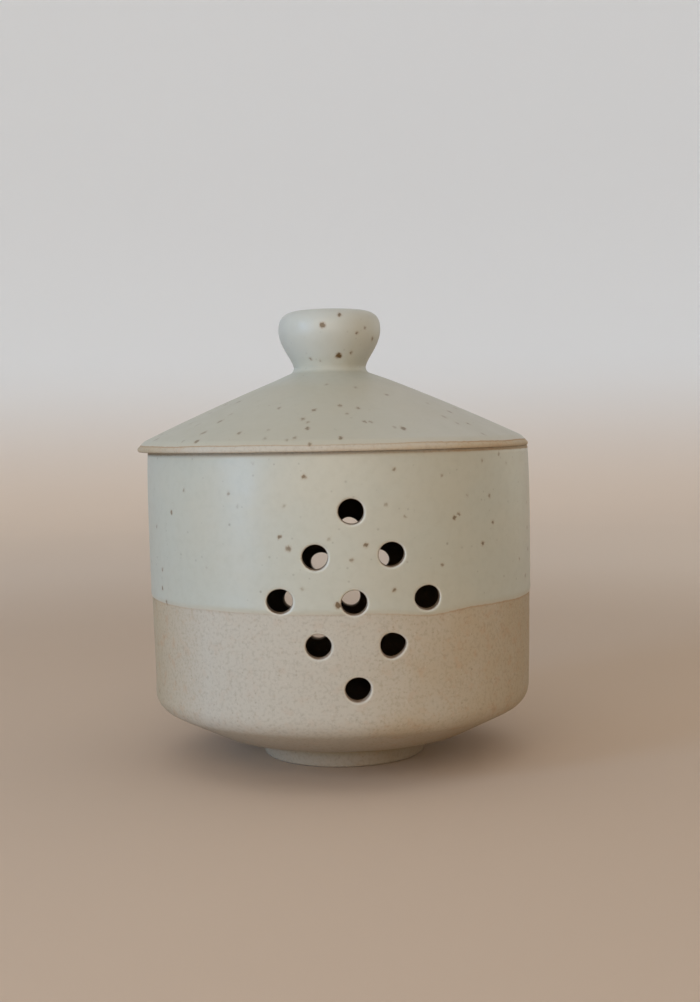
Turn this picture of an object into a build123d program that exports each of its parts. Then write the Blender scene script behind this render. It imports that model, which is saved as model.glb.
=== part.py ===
from build123d import *
import os
from math import cos, degrees, hypot, radians, sin

# A stoneware garlic keeper: a thrown pot with punched vent holes and a turned
# foot, and a hollow lid with a locating collar and a solid flared knob.
# Millimetres, +Z up. The origin is the centre of the foot's resting face, and
# the front group of holes is centred on -Y.

# ---- Driving dimensions -------------------------------------------------

# Pot wall, outside
widest_radius = 65.0
widest_height = 88.0
rim_radius = 64.6
rim_height = 104.2
turn_radius = 64.1           # where the wall starts to turn under
turn_height = 26.0
heel_radius = 63.9           # corner where wall and underside would meet, before rounding
heel_height = 19.2
wall = 5.0
rim_round = 0.5
heel_round = 7.5

# Underside and floor
hip_radius = 44.0            # where the trimmed underside flattens
hip_height = 9.1
hip_round = 6.0
underside_height = 6.6       # flat that the foot ring is luted to
underside_flat_radius = 30.0
floor_top = 14.0
floor_inset = 2.0            # the inside draws in by this towards the floor
floor_corner_round = 9.0

# Foot ring
foot_radius = 27.5
foot_flare = 0.9             # extra radius where the ring meets the underside
foot_width = 5.5
foot_round = 1.2

# Vent holes: rows of holes on a diamond lattice
hole_radius = 3.85
hole_bore = 20.0             # length of the cutting cylinder, centred on the outside of the wall
hole_lip = 0.6               # rounding of each hole's outside edge
row_top = 86.2
row_step = 13.2
hole_pitch_angle = 20.0      # between neighbours in one row
front_angle = -90.0
back_angle = 83.15           # the back group is not quite opposite the front one
# Each group is punched straight in, so its holes are parallel and not quite radial
front_punch_angle = -92.6
back_punch_angle = 84.4
front_rows = (1, 2, 3, 2, 1)
back_rows = (0, 1, 2, 3, 2)  # starts one row lower
# The holes are punched by hand: millimetres along the wall and up, in row order
front_nudges = (
    (-0.6, 0.05),
    (-0.3, -0.25), (0.15, 0.1),
    (-0.15, -0.3), (-0.1, -0.85), (0.3, -0.3),
    (0.2, -0.7), (0.2, -0.9),
    (0.65, -0.75),
)
back_nudges = (
    (0.2, -0.3),
    (0.1, 0.3), (0.2, -0.6),
    (1.3, -0.5), (0.2, -0.9), (-0.1, -1.1),
    (-0.4, 0.6), (1.7, -0.4),
)

# Lid: a hollow cone with its own slight crown, not quite centred on the pot
lid_shift = -1.95
lid_radius = 66.5
lid_edge = 1.2               # height of the upright edge, before rounding
lid_shoulder_radius = 64.2   # where the cone meets the steeper slope down to the edge
lid_shoulder_height = 107.75
lid_shoulder_round = 4.0
lid_tip_round = 1.0
lid_seat_round = 0.7
cone_top_radius = 12.7
cone_top_height = 130.05
cone_crown = 0.55
lid_wall = 5.5               # measured straight down through the cone

# Collar under the lid
collar_radius = 57.0
collar_wall = 4.0
collar_depth = 10.0
collar_round = 1.0

# Knob
knob_radius = 17.45
knob_widest_height = 144.4
knob_shoulder_height = 150.85
knob_crown_radius = 11.5     # inside this the top is gently crowned
knob_top_height = 151.4
# How far the outline's curves are drawn
knob_waist_pull = 1.8        # in at the waist,
knob_waist_rise = 3.5        # up from the waist,
knob_belly_pull = 6.3        # down below the widest ring,
knob_flare_pull = 3.1        # down from the shoulder,
knob_shoulder_pull = 4.9     # out past the crown,
knob_shoulder_drop = 0.5     # and down from it

os.makedirs("parts", exist_ok=True)


def wall_radius(height):
    """Outer radius of the pot wall: falls off as the square of the distance from the widest height."""
    if height > widest_height:
        reach = (height - widest_height) / (rim_height - widest_height)
        return widest_radius - (widest_radius - rim_radius) * reach ** 2
    reach = (widest_height - height) / (widest_height - turn_height)
    return widest_radius - (widest_radius - turn_radius) * reach ** 2


def across(point):
    """Distance of a point from the pot's axis."""
    return hypot(point.X, point.Y)


def hole_places(rows, centre_angle, punch_angle, nudges):
    """Planes on the outside of the wall, facing along the punch, one for each hole."""
    places = []
    outward = (cos(radians(punch_angle)), sin(radians(punch_angle)), 0)
    for row, count in enumerate(rows):
        for place in range(count):
            along, up = nudges[len(places)]
            height = row_top - row * row_step + up
            radius = wall_radius(height)
            angle = centre_angle + (place - (count - 1) / 2) * hole_pitch_angle
            angle = radians(angle + degrees(along / radius))
            centre = (radius * cos(angle), radius * sin(angle), height)
            places.append(Plane(origin=centre, x_dir=(-outward[1], outward[0], 0), z_dir=outward))
    return places


# ---- Pot ----------------------------------------------------------------

middle_height = (widest_height + turn_height) / 2
rim_shoulder = rim_height - rim_round
upper_height = (widest_height + rim_shoulder) / 2
mouth_radius = rim_radius - wall
floor_radius = turn_radius - wall - floor_inset

with BuildPart() as pot:
    with BuildSketch(Plane.XZ) as pot_section:
        with BuildLine() as pot_outline:
            Line((0, floor_top), (0, underside_height))
            Line((0, underside_height), (underside_flat_radius, underside_height))
            FilletPolyline(
                (underside_flat_radius, underside_height),
                (hip_radius, hip_height),
                (heel_radius, heel_height),
                (turn_radius, turn_height),
                radius=(hip_round, heel_round),
            )
            ThreePointArc(
                (turn_radius, turn_height),
                (wall_radius(middle_height), middle_height),
                (widest_radius, widest_height),
            )
            ThreePointArc(
                (widest_radius, widest_height),
                (wall_radius(upper_height), upper_height),
                (rim_radius, rim_shoulder),
            )
            RadiusArc((rim_radius, rim_shoulder), (rim_radius - rim_round, rim_height), -rim_round)
            Line((rim_radius - rim_round, rim_height), (mouth_radius + rim_round, rim_height))
            RadiusArc((mouth_radius + rim_round, rim_height), (mouth_radius, rim_shoulder), -rim_round)
            ThreePointArc(
                (mouth_radius, rim_shoulder),
                (wall_radius(upper_height) - wall, upper_height),
                (widest_radius - wall, widest_height),
            )
            ThreePointArc(
                (widest_radius - wall, widest_height),
                (wall_radius(middle_height) - wall, middle_height),
                (turn_radius - wall, turn_height),
            )
            FilletPolyline(
                (turn_radius - wall, turn_height),
                (floor_radius, floor_top),
                (0, floor_top),
                radius=floor_corner_round,
            )
        make_face()
    revolve(axis=Axis.Z)

    holes = hole_places(front_rows, front_angle, front_punch_angle, front_nudges)
    holes += hole_places(back_rows, back_angle, back_punch_angle, back_nudges)
    with Locations(*holes):
        Cylinder(radius=hole_radius, height=hole_bore, mode=Mode.SUBTRACT)
    middle_of_wall = rim_radius - wall / 2
    cut_edges = pot.edges().filter_by(GeomType.BSPLINE)
    fillet([edge for edge in cut_edges if across(edge.center()) > middle_of_wall], radius=hole_lip)

# ---- Foot ring ----------------------------------------------------------

with BuildPart() as foot_ring:
    with BuildSketch(Plane.XZ) as foot_section:
        with BuildLine() as foot_outline:
            Polyline(
                (foot_radius - foot_width, 0),
                (foot_radius, 0),
                (foot_radius + foot_flare, underside_height),
                (foot_radius - foot_width, underside_height),
                close=True,
            )
        make_face()
        fillet(foot_section.vertices().group_by(Axis.Y)[0], radius=foot_round)
    revolve(axis=Axis.Z)

# ---- Lid ----------------------------------------------------------------

lid_plane = Plane(origin=(lid_shift, 0, 0), x_dir=(1, 0, 0), z_dir=(0, -1, 0))
lid_axis = Axis((lid_shift, 0, 0), (0, 0, 1))

cone_run = lid_shoulder_radius - cone_top_radius
cone_rise = cone_top_height - lid_shoulder_height
cone_slope = cone_rise / cone_run
crown_radius = (lid_shoulder_radius + cone_top_radius) / 2
crown_height = (lid_shoulder_height + cone_top_height) / 2 + cone_crown
hollow_radius = collar_radius - collar_wall
hollow_edge_height = lid_shoulder_height + cone_slope * (lid_shoulder_radius - hollow_radius) - lid_wall
hollow_top_height = cone_top_height - lid_wall

with BuildPart() as lid:
    with BuildSketch(lid_plane) as lid_section:
        with BuildLine() as lid_outline:
            Polyline(
                (0, cone_top_height),
                (0, hollow_top_height),
                (cone_top_radius, hollow_top_height),
                (hollow_radius, hollow_edge_height),
                (hollow_radius, rim_height),
                (lid_radius, rim_height),
                (lid_radius, rim_height + lid_edge),
                (lid_shoulder_radius, lid_shoulder_height),
            )
            ThreePointArc(
                (lid_shoulder_radius, lid_shoulder_height),
                (crown_radius, crown_height),
                (cone_top_radius, cone_top_height),
            )
            Line((cone_top_radius, cone_top_height), (0, cone_top_height))
        make_face()
        seat_corner, tip_corner, shoulder_corner = lid_section.vertices().sort_by(Axis.X)[-3:].sort_by(Axis.Z)
        fillet(seat_corner, radius=lid_seat_round)
        fillet(tip_corner, radius=lid_tip_round)
        fillet(shoulder_corner, radius=lid_shoulder_round)
    revolve(axis=lid_axis)

# ---- Collar under the lid -----------------------------------------------

with BuildPart() as lid_flange:
    with BuildSketch(lid_plane) as collar_section:
        with BuildLine() as collar_outline:
            Polyline(
                (hollow_radius, rim_height - collar_depth),
                (collar_radius, rim_height - collar_depth),
                (collar_radius, rim_height),
                (hollow_radius, rim_height),
                close=True,
            )
        make_face()
        fillet(collar_section.vertices().group_by(Axis.Y)[0], radius=collar_round)
    revolve(axis=lid_axis)

# ---- Knob ---------------------------------------------------------------

with BuildPart() as knob:
    with BuildSketch(lid_plane) as knob_section:
        with BuildLine() as knob_outline:
            Line((0, knob_top_height), (0, cone_top_height))
            Line((0, cone_top_height), (cone_top_radius, cone_top_height))
            Bezier(
                (cone_top_radius, cone_top_height),
                (cone_top_radius - knob_waist_pull, cone_top_height + knob_waist_rise),
                (knob_radius, knob_widest_height - knob_belly_pull),
                (knob_radius, knob_widest_height),
            )
            Bezier(
                (knob_radius, knob_widest_height),
                (knob_radius, knob_shoulder_height - knob_flare_pull),
                (knob_crown_radius + knob_shoulder_pull, knob_shoulder_height - knob_shoulder_drop),
                (knob_crown_radius, knob_shoulder_height),
            )
            Bezier(
                (knob_crown_radius, knob_shoulder_height),
                (knob_crown_radius / 2, knob_top_height),
                (0, knob_top_height),
            )
        make_face()
    revolve(axis=lid_axis)

# ---- Write the parts ----------------------------------------------------

pieces = {
    "pot": pot,
    "foot_ring": foot_ring,
    "lid": lid,
    "lid_flange": lid_flange,
    "knob": knob,
}
for name, piece in pieces.items():
    piece.part.label = name
    export_step(piece.part, f"parts/{name}.step")
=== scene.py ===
from math import cos, pi, radians, sin

import bmesh
import bpy
import numpy as np
from mathutils import Matrix, Vector


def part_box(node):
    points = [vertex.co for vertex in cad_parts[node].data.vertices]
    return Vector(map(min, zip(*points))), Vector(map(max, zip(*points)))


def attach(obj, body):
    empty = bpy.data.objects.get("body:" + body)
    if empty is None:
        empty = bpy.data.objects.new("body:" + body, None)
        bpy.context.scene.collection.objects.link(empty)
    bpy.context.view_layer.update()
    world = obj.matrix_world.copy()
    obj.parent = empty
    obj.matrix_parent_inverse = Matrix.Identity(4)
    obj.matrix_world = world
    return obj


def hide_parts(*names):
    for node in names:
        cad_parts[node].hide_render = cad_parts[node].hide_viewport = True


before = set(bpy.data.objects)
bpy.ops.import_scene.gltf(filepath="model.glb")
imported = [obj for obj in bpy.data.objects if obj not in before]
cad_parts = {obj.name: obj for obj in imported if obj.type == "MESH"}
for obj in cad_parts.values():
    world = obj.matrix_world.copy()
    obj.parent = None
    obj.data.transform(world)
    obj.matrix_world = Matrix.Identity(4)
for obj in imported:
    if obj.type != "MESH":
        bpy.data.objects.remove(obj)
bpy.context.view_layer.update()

bl_info = {
    "name": "Speckled Stoneware Garlic Keeper",
    "version": (1, 0, 0),
    "blender": (4, 5, 0),
    "location": "View3D > Sidebar > Garlic Keeper",
    "description": "A thrown stoneware garlic keeper with punched vents and a lift-off lid",
    "category": "Add Mesh",
}

MM = 0.001
PICTURE_HEIGHT = 1002

# ---- Places that come from the frame ------------------------------------

POT_LOW, POT_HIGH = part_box("pot")
FOOT_LOW, FOOT_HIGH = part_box("foot_ring")
LID_LOW, LID_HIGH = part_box("lid")
COLLAR_LOW, COLLAR_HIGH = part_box("lid_flange")
KNOB_LOW, KNOB_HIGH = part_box("knob")

WIDEST_RADIUS = (POT_HIGH.x - POT_LOW.x) / 2
RIM_HEIGHT = POT_HIGH.z
UNDERSIDE_HEIGHT = POT_LOW.z
LID_CENTRE_X = (LID_LOW.x + LID_HIGH.x) / 2
LID_RADIUS = (LID_HIGH.x - LID_LOW.x) / 2
COLLAR_RADIUS = (COLLAR_HIGH.x - COLLAR_LOW.x) / 2
KNOB_RADIUS = (KNOB_HIGH.x - KNOB_LOW.x) / 2
FOOT_TOP_RADIUS = (FOOT_HIGH.x - FOOT_LOW.x) / 2

# ---- Pot sizes ----------------------------------------------------------

WIDEST_HEIGHT = 88.0 * MM
RIM_RADIUS = 64.6 * MM
TURN_RADIUS = 64.1 * MM
TURN_HEIGHT = 26.0 * MM
HEEL = (63.9 * MM, 19.2 * MM, 7.5 * MM)      # radius, height and rounding of the corner
HIP = (44.0 * MM, 9.1 * MM, 6.0 * MM)
UNDERSIDE_FLAT_RADIUS = 30.0 * MM
FLOOR_TOP = 14.0 * MM
FLOOR_INSET = 2.0 * MM
FLOOR_ROUND = 9.0 * MM
RIM_ROUND = 0.5 * MM
INSIDE_SHADE_DEPTH = 4.0 * MM          # the painted shade inside the pot deepens over this depth below the rim
RIM_WIPE = 0.8 * MM          # the glaze is wiped back this far below the top of the rim
POT_POLE = 1.0 * MM          # radius of the innermost rings of the underside and the floor

ROW_TOP = 86.2 * MM
ROW_STEP = 13.2 * MM
HOLE_PITCH = radians(20.0)
FRONT_ANGLE = radians(-90.0)
BACK_ANGLE = radians(83.15)
FRONT_ROWS = (1, 2, 3, 2, 1)
BACK_ROWS = (0, 1, 2, 3, 2)
# The holes are punched by hand: millimetres along the wall and up, in row order
FRONT_NUDGES = (
    (-0.6, 0.05),
    (-0.3, -0.25), (0.15, 0.1),
    (-0.15, -0.3), (-0.1, -0.85), (0.3, -0.3),
    (0.2, -0.7), (0.2, -0.9),
    (0.65, -0.75),
)
BACK_NUDGES = (
    (0.2, -0.3),
    (0.1, 0.3), (0.2, -0.6),
    (1.3, -0.5), (0.2, -0.9), (-0.1, -1.1),
    (-0.4, 0.6), (1.7, -0.4),
)
# Each group is punched straight in, so its holes are parallel and not quite radial
FRONT_PUNCH_ANGLE = radians(-92.6)
BACK_PUNCH_ANGLE = radians(84.4)
BURRED_HOLE = 7              # the cutter dragged here and left the hole three-cornered,
BURR_TURN = radians(14.0)    # worst at this turn round the hole
THROWING_PITCH = 4.7 * MM    # height between the rings that fingers left
# Runs of glaze: degrees round from the front, depth in millimetres and width in degrees
GLAZE_RUNS = ((21, 1.15, 8), (128, 0.9, 12), (-137, 0.7, 9))
GLAZE_ROLL = 1.2 * MM        # the glaze is fattest this far above its line

GROUP_CELLS = 5              # cells of the lattice across each group, two to a pitch
CELL_STEPS = 12              # mesh steps up and across a cell of the lattice
CELL_SPREAD = 3              # more steps on each side of a cell that holds a hole
SIDE_STEPS = 220             # mesh steps round the two plain sides together
GLAZE_CELL = 2               # cell, counted from the top, whose rows crowd towards the glaze line
GLAZE_CROWDING = 1.6
LIP_RINGS = 6                # mesh rings of each lip of a hole

# ---- Lid and knob sizes -------------------------------------------------

LID_EDGE = 1.2 * MM
LID_SHOULDER = (64.2 * MM, 107.75 * MM, 4.0 * MM)    # radius, height and rounding above the edge
LID_TIP_ROUND = 1.0 * MM
LID_SEAT_ROUND = 0.7 * MM
LID_GLAZE_EDGE = 2.1 * MM    # the glaze ends this far above the seat
LID_RING_PITCH = 1.9 * MM    # height between the turning rings
CONE_TOP_RADIUS = 12.7 * MM
CONE_CROWN = 0.55 * MM
NECK_INSET = 0.55 * MM       # the fillet at the foot of the knob draws in by this,
NECK_ROUND = 2.2 * MM        # and this is its rise and its rounding
LID_WALL = 5.5 * MM
COLLAR_WALL = 4.0 * MM
COLLAR_ROUND = 1.0 * MM
KNOB_WIDEST_HEIGHT = 144.4 * MM
KNOB_SHOULDER_HEIGHT = 150.85 * MM
KNOB_CROWN_RADIUS = 11.5 * MM
# How far the knob's curves are drawn
KNOB_WAIST_PULL = 1.8 * MM       # in at the waist,
KNOB_WAIST_RISE = 3.5 * MM       # up from the waist,
KNOB_BELLY_PULL = 6.3 * MM       # down below the widest ring,
KNOB_FLARE_PULL = 3.1 * MM       # down from the shoulder,
KNOB_SHOULDER_PULL = 4.9 * MM    # out past the crown,
KNOB_SHOULDER_DROP = 0.5 * MM    # and down from it
KNOB_SINK = 0.4 * MM         # the knob's base lies this far below the top of the cone
NECK_REACH = 8.0 * MM        # the top of the cone follows the knob's offset this far out
KNOB_OFFSET = -0.6 * MM      # the knob was set down a little off the lid's centre,
KNOB_LEAN = 0.2 * MM         # and leans back towards it by this much at the top
FOOT_RADIUS = 27.5 * MM
FOOT_WIDTH = 5.5 * MM
FOOT_ROUND = 1.2 * MM
POLE = 0.6 * MM              # radius of the innermost ring of the lid and the knob
DEEP_GLAZE = 20.0 * MM       # depth in the glaze of a point that is far from its edge

FOOT_STEPS = 180             # mesh steps once round
LID_STEPS = 400
COLLAR_STEPS = 240
KNOB_STEPS = 160

# ---- Iron spots ---------------------------------------------------------

SPOT_GAP = 5.0 * MM          # least distance between spots
HOLE_SEED = 8                # seeds of the random draws,
WALL_SEED = 21
LID_SEED = 34
KNOB_SEED = 5
WALL_COUNT = 150             # and how many spots are tried on each piece
LID_COUNT = 120
KNOB_COUNT = 8

# Set one by one: degrees round from the front, height and radius in millimetres, and strength
WALL_SPOTS = (
    (-12.8, 96.9, 0.62, 0.80), (-34.6, 92.0, 0.50, 0.45), (-51.6, 92.6, 0.50, 0.42),
    (-58.3, 85.5, 0.60, 0.70), (-31.9, 88.0, 0.45, 0.20), (-18.3, 88.3, 0.48, 0.32),
    (-19.7, 79.0, 0.56, 0.75), (-17.3, 75.5, 0.78, 0.70), (-13.9, 63.4, 0.52, 0.30),
    (-6.5, 78.2, 0.50, 0.30), (-65.9, 66.6, 0.55, 0.56), (-63.6, 56.2, 0.65, 0.70),
    (-4.5, 58.4, 0.85, 0.90), (11.3, 98.5, 0.50, 0.60), (25.2, 96.2, 0.50, 0.38),
    (40.1, 100.1, 0.50, 0.40), (48.0, 102.0, 0.50, 0.45), (30.6, 84.2, 0.50, 0.60),
    (8.9, 88.0, 0.45, 0.42), (14.0, 84.3, 0.45, 0.36), (29.2, 83.3, 0.62, 0.76),
    (33.8, 89.8, 0.40, 0.25), (42.8, 89.1, 0.52, 0.56), (44.2, 80.9, 0.55, 0.75),
    (39.6, 74.5, 0.62, 0.82), (25.0, 69.1, 0.52, 0.58), (3.3, 76.3, 0.60, 0.80),
    (-0.7, 71.9, 0.50, 0.55), (10.8, 62.5, 0.55, 0.80), (60.0, 67.7, 0.50, 0.48),
    (52.0, 99.0, 0.40, 0.25), (-43.0, 69.0, 0.40, 0.16), (-27.0, 101.0, 0.40, 0.18),
)
LID_SPOTS = (
    (-26.3, 117.7, 0.55, 0.48), (-10.5, 116.8, 0.62, 0.62), (-13.6, 114.1, 0.60, 0.58),
    (-11.4, 113.0, 0.42, 0.48), (-10.9, 111.2, 0.64, 0.66), (0.2, 118.1, 0.62, 0.52),
    (7.4, 117.2, 0.56, 0.52), (2.3, 115.5, 0.46, 0.38), (7.5, 112.9, 0.56, 0.52),
    (9.4, 112.8, 0.44, 0.46), (28.1, 121.5, 0.55, 0.45), (18.4, 110.7, 0.72, 0.66),
    (16.0, 111.1, 0.42, 0.32), (-1.1, 108.2, 0.62, 0.70), (-9.2, 106.5, 0.50, 0.60),
    (-13.6, 108.4, 0.52, 0.50), (-15.6, 107.9, 0.44, 0.36), (-7.2, 125.3, 0.46, 0.34),
    (13.0, 124.1, 0.46, 0.36), (-23.1, 110.9, 0.45, 0.26), (-47.2, 113.9, 0.62, 0.50),
    (-46.5, 110.4, 0.76, 0.46), (-44.0, 107.8, 0.70, 0.66), (-31.9, 110.1, 0.60, 0.52),
    (-47.7, 116.1, 0.46, 0.30), (-57.7, 112.9, 0.46, 0.28), (-50.0, 108.0, 0.50, 0.30),
    (45.4, 108.4, 0.60, 0.36), (46.3, 118.5, 0.45, 0.26), (-22.1, 108.4, 0.55, 0.30),
)
KNOB_SPOTS = (
    (-9.9, 145.0, 0.98, 0.84), (9.8, 135.0, 0.90, 1.00), (9.4, 148.4, 0.55, 0.85),
    (28.9, 142.4, 0.48, 0.75), (40.4, 144.2, 0.42, 0.50), (56.4, 140.8, 0.60, 0.62),
    (26.9, 136.0, 0.48, 0.66), (-31.6, 134.2, 0.42, 0.55), (-16.6, 133.6, 0.36, 0.34),
)


# ---- Add-on settings ----------------------------------------------------


def linear(code):
    """An sRGB hex colour as linear red, green and blue."""
    parts = [int(code[place:place + 2], 16) / 255 for place in (1, 3, 5)]
    return tuple(
        part / 12.92 if part <= 0.04045 else ((part + 0.055) / 1.055) ** 2.4
        for part in parts
    )


class KeeperSizes(bpy.types.PropertyGroup):
    """Sizes that a potter would choose"""

    wall: bpy.props.FloatProperty(
        name="Wall", description="Thickness of the pot's wall", default=5.0 * MM, unit="LENGTH"
    )
    hole_radius: bpy.props.FloatProperty(
        name="Hole radius", description="Radius of the hole cutter", default=3.83 * MM, unit="LENGTH"
    )
    hole_lip: bpy.props.FloatProperty(
        name="Hole lip", description="Softening of each hole's edge", default=0.9 * MM, unit="LENGTH"
    )
    glaze_thickness: bpy.props.FloatProperty(
        name="Glaze thickness", description="How far the fired glaze stands proud of the clay",
        default=0.25 * MM, unit="LENGTH",
    )
    glaze_height: bpy.props.FloatProperty(
        name="Glaze line", description="Height of the edge of the dipped glaze",
        default=55.5 * MM, unit="LENGTH",
    )
    throwing_relief: bpy.props.FloatProperty(
        name="Throwing rings", description="Height of the rings that fingers left",
        default=0.015 * MM, unit="LENGTH",
    )
    foot_flare: bpy.props.FloatProperty(
        name="Foot flare", description="Extra radius at the top of the foot ring",
        default=FOOT_TOP_RADIUS - FOOT_RADIUS, unit="LENGTH",
    )


class KeeperColours(bpy.types.PropertyGroup):
    """Fired colours, and the clay's painted side shade"""

    glaze: bpy.props.FloatVectorProperty(
        name="Glaze", description="Satin glaze where it is thick",
        default=linear("#b9b9ab"), subtype="COLOR",
    )
    glaze_thin: bpy.props.FloatVectorProperty(
        name="Thin glaze", description="Satin glaze where clay shows through it",
        default=linear("#c0b8a4"), subtype="COLOR",
    )
    # The clay's own colour, seen on its lit side.
    clay: bpy.props.FloatVectorProperty(
        name="Clay", description="Bare fired stoneware on the side away from the flame",
        default=linear("#bcb5a6"), subtype="COLOR",
    )
    # Painted shade: the clay's colour on its shaded right side and at its far left edge.
    shaded_side_clay: bpy.props.FloatVectorProperty(
        name="Toasted clay", description="Bare fired stoneware on the side that the flame toasted",
        default=linear("#b4a286"), subtype="COLOR",
    )
    toast: bpy.props.FloatVectorProperty(
        name="Toast line", description="Thin line where the glaze ends on the clay",
        default=linear("#a88663"), subtype="COLOR",
    )
    iron: bpy.props.FloatVectorProperty(
        name="Iron", description="Iron spots that bleed through",
        default=linear("#5e4521"), subtype="COLOR",
    )


# ---- Shapes -------------------------------------------------------------


def half_turn(angle):
    """An angle brought between minus and plus half a turn."""
    return (angle + pi) % (2 * pi) - pi


def round_angles(steps):
    """Even angles once round, without the last, which is the first again."""
    return np.linspace(0, 2 * pi, steps, endpoint=False)


def around(radius, angle, height, centre_x=0.0):
    """Points at a height whose x and y are the radius times the cosine and sine of the angle."""
    return np.stack([centre_x + radius * np.cos(angle), radius * np.sin(angle), height], -1)


def outline(corners, spacing):
    """Half-section through corners of (radius, height, rounding).

    Each corner becomes an arc tangent to the runs on both sides: its centre lies
    on the corner's bisector, one rounding divided by the sine of half the corner's
    angle away. The runs between arcs are divided evenly, at most spacing apart.
    """
    points = [np.array(corners[0][:2])]
    for before, corner, after in zip(corners, corners[1:], corners[2:]):
        here = np.array(corner[:2])
        rounding = corner[2]
        if rounding == 0:
            points.append(here)
            continue
        back = np.array(before[:2]) - here
        ahead = np.array(after[:2]) - here
        back /= np.linalg.norm(back)
        ahead /= np.linalg.norm(ahead)
        half = np.arccos(np.clip(back @ ahead, -1, 1)) / 2
        bisector = (back + ahead) / np.linalg.norm(back + ahead)
        centre = here + bisector * rounding / np.sin(half)
        arms = np.stack([back, ahead]) * rounding / np.tan(half) + here - centre
        start, end = np.arctan2(arms[:, 1], arms[:, 0])
        sweep = half_turn(end - start)
        steps = max(4, int(np.ceil(abs(sweep) * rounding / spacing)))
        turn = start + sweep * np.linspace(0, 1, steps + 1)
        points.extend(centre + rounding * np.stack([np.cos(turn), np.sin(turn)], 1))
    points.append(np.array(corners[-1][:2]))
    runs = [
        start + (end - start) * np.linspace(0, 1, int(np.ceil(length / spacing)), endpoint=False)[:, None]
        for start, end in zip(points, points[1:])
        if (length := np.linalg.norm(end - start)) > 0
    ]
    return np.concatenate([*runs, points[-1][None]])


def bezier(controls, steps):
    """Cubic or square curve: the control points weighted by the Bernstein polynomials of the step."""
    along = np.linspace(0, 1, steps + 1)[:, None]
    points = np.array(controls, float)[None].repeat(steps + 1, 0)
    while points.shape[1] > 1:
        points = points[:, :-1] * (1 - along[:, None]) + points[:, 1:] * along[:, None]
    return points[:, 0]


def smooth_step(value):
    """0 below 0, 1 above 1, and three squares less two cubes between."""
    value = np.clip(value, 0, 1)
    return value * value * (3 - 2 * value)


def turned_points(section, angles, centre_x=0.0, relief=None):
    """Grid of points, section by angle, round the piece's own axis.

    relief(angle, height) is what the widest radius gains, and each radius gains the same share.
    """
    radius = section[:, 0][:, None]
    height = section[:, 1][:, None] + 0 * angles[None]
    if relief is not None:
        radius = radius * (1 + relief(angles[None], height) / WIDEST_RADIUS)
    return around(radius, angles, height, centre_x)


def grid_quads(rows, columns, closed_rows=False):
    """Quads of a grid whose columns close into a ring.

    Each joins a point, the next one round and the two above.
    """
    row = np.arange(rows if closed_rows else rows - 1)[:, None]
    column = np.arange(columns)[None]
    above = (row + 1) % rows * columns
    beside = (column + 1) % columns
    corners = (row * columns + column, row * columns + beside, above + beside, above + column)
    return np.stack(corners, -1)


def cap(ring, pole):
    """Triangles from a pole to each side of a ring of point numbers."""
    return np.stack([np.full(len(ring), pole), ring, np.roll(ring, -1)], 1)


def end_caps(rows, columns, pole):
    """Triangles that close a grid's first ring with one pole and its last ring with the next."""
    ring = np.arange(columns)
    return np.concatenate([cap(ring, pole), cap((rows - 1) * columns + ring, pole + 1)])


def make_piece(name, points, quads, triangles=()):
    """A closed mesh object at the origin, smooth, with its faces turned outwards."""
    mesh = bpy.data.meshes.new(name)
    mesh.from_pydata(points.tolist(), [], [list(face) for group in (quads, triangles) for face in group])
    shell = bmesh.new()
    shell.from_mesh(mesh)
    bmesh.ops.recalc_face_normals(shell, faces=shell.faces)
    shell.to_mesh(mesh)
    shell.free()
    mesh.shade_smooth()
    piece = bpy.data.objects.new(name, mesh)
    bpy.context.scene.collection.objects.link(piece)
    return piece


def turned_ring(name, section, steps, relief, centre_x=0.0):
    """A ring turned from a closed section."""
    angles = round_angles(steps)
    points = turned_points(section, angles, centre_x, relief).reshape(-1, 3)
    quads = grid_quads(len(section), steps, closed_rows=True).reshape(-1, 4)
    return make_piece(name, points, quads)


def turned_solid(name, section, grid, pole_x):
    """A grid turned from an open section, closed by a pole beyond each of its ends."""
    rows, columns = grid.shape[:2]
    poles = [(pole_x, 0, section[0, 1]), (pole_x, 0, section[-1, 1])]
    points = np.concatenate([grid.reshape(-1, 3), poles])
    quads = grid_quads(rows, columns).reshape(-1, 4)
    return make_piece(name, points, quads, end_caps(rows, columns, rows * columns))


def store(piece, name, values, kind="FLOAT", domain="POINT"):
    """Keeps one number or vector for each point or face of a piece as an attribute."""
    field = "value" if kind == "FLOAT" else "vector"
    attribute = piece.data.attributes.new(name, kind, domain)
    attribute.data.foreach_set(field, np.ascontiguousarray(values, np.float32).ravel())


def store_spots(piece, spots):
    """Gives each face the centre, radius and strength of the iron spot nearest to its middle."""
    count = len(piece.data.polygons)
    middles = np.empty(count * 3, np.float32)
    piece.data.polygons.foreach_get("center", middles)
    spots = np.array(spots)
    distances = np.linalg.norm(middles.reshape(-1, 1, 3) - spots[None, :, :3], axis=2)
    nearest = spots[distances.argmin(1)]
    store(piece, "spot_centre", nearest[:, :3], "FLOAT_VECTOR", "FACE")
    store(piece, "spot_size", nearest[:, 3], "FLOAT", "FACE")
    store(piece, "spot_strength", nearest[:, 4], "FLOAT", "FACE")


def add_spots(spots, candidates, gap):
    """Adds each candidate that is at least gap from every spot kept so far."""
    kept = list(spots)
    for candidate in candidates:
        if all(np.linalg.norm(np.subtract(candidate[:3], spot[:3])) > gap for spot in kept):
            kept.append(candidate)
    return kept


# ---- Pot ----------------------------------------------------------------


def wall_radius(height):
    """Bare outer radius of the wall: falls off as the square of the distance from the widest height."""
    rise = (height - WIDEST_HEIGHT) / (RIM_HEIGHT - WIDEST_HEIGHT)
    fall = (WIDEST_HEIGHT - height) / (WIDEST_HEIGHT - TURN_HEIGHT)
    upper = WIDEST_RADIUS - (WIDEST_RADIUS - RIM_RADIUS) * rise ** 2
    lower = WIDEST_RADIUS - (WIDEST_RADIUS - TURN_RADIUS) * fall ** 2
    return np.where(height > WIDEST_HEIGHT, upper, lower)


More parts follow.
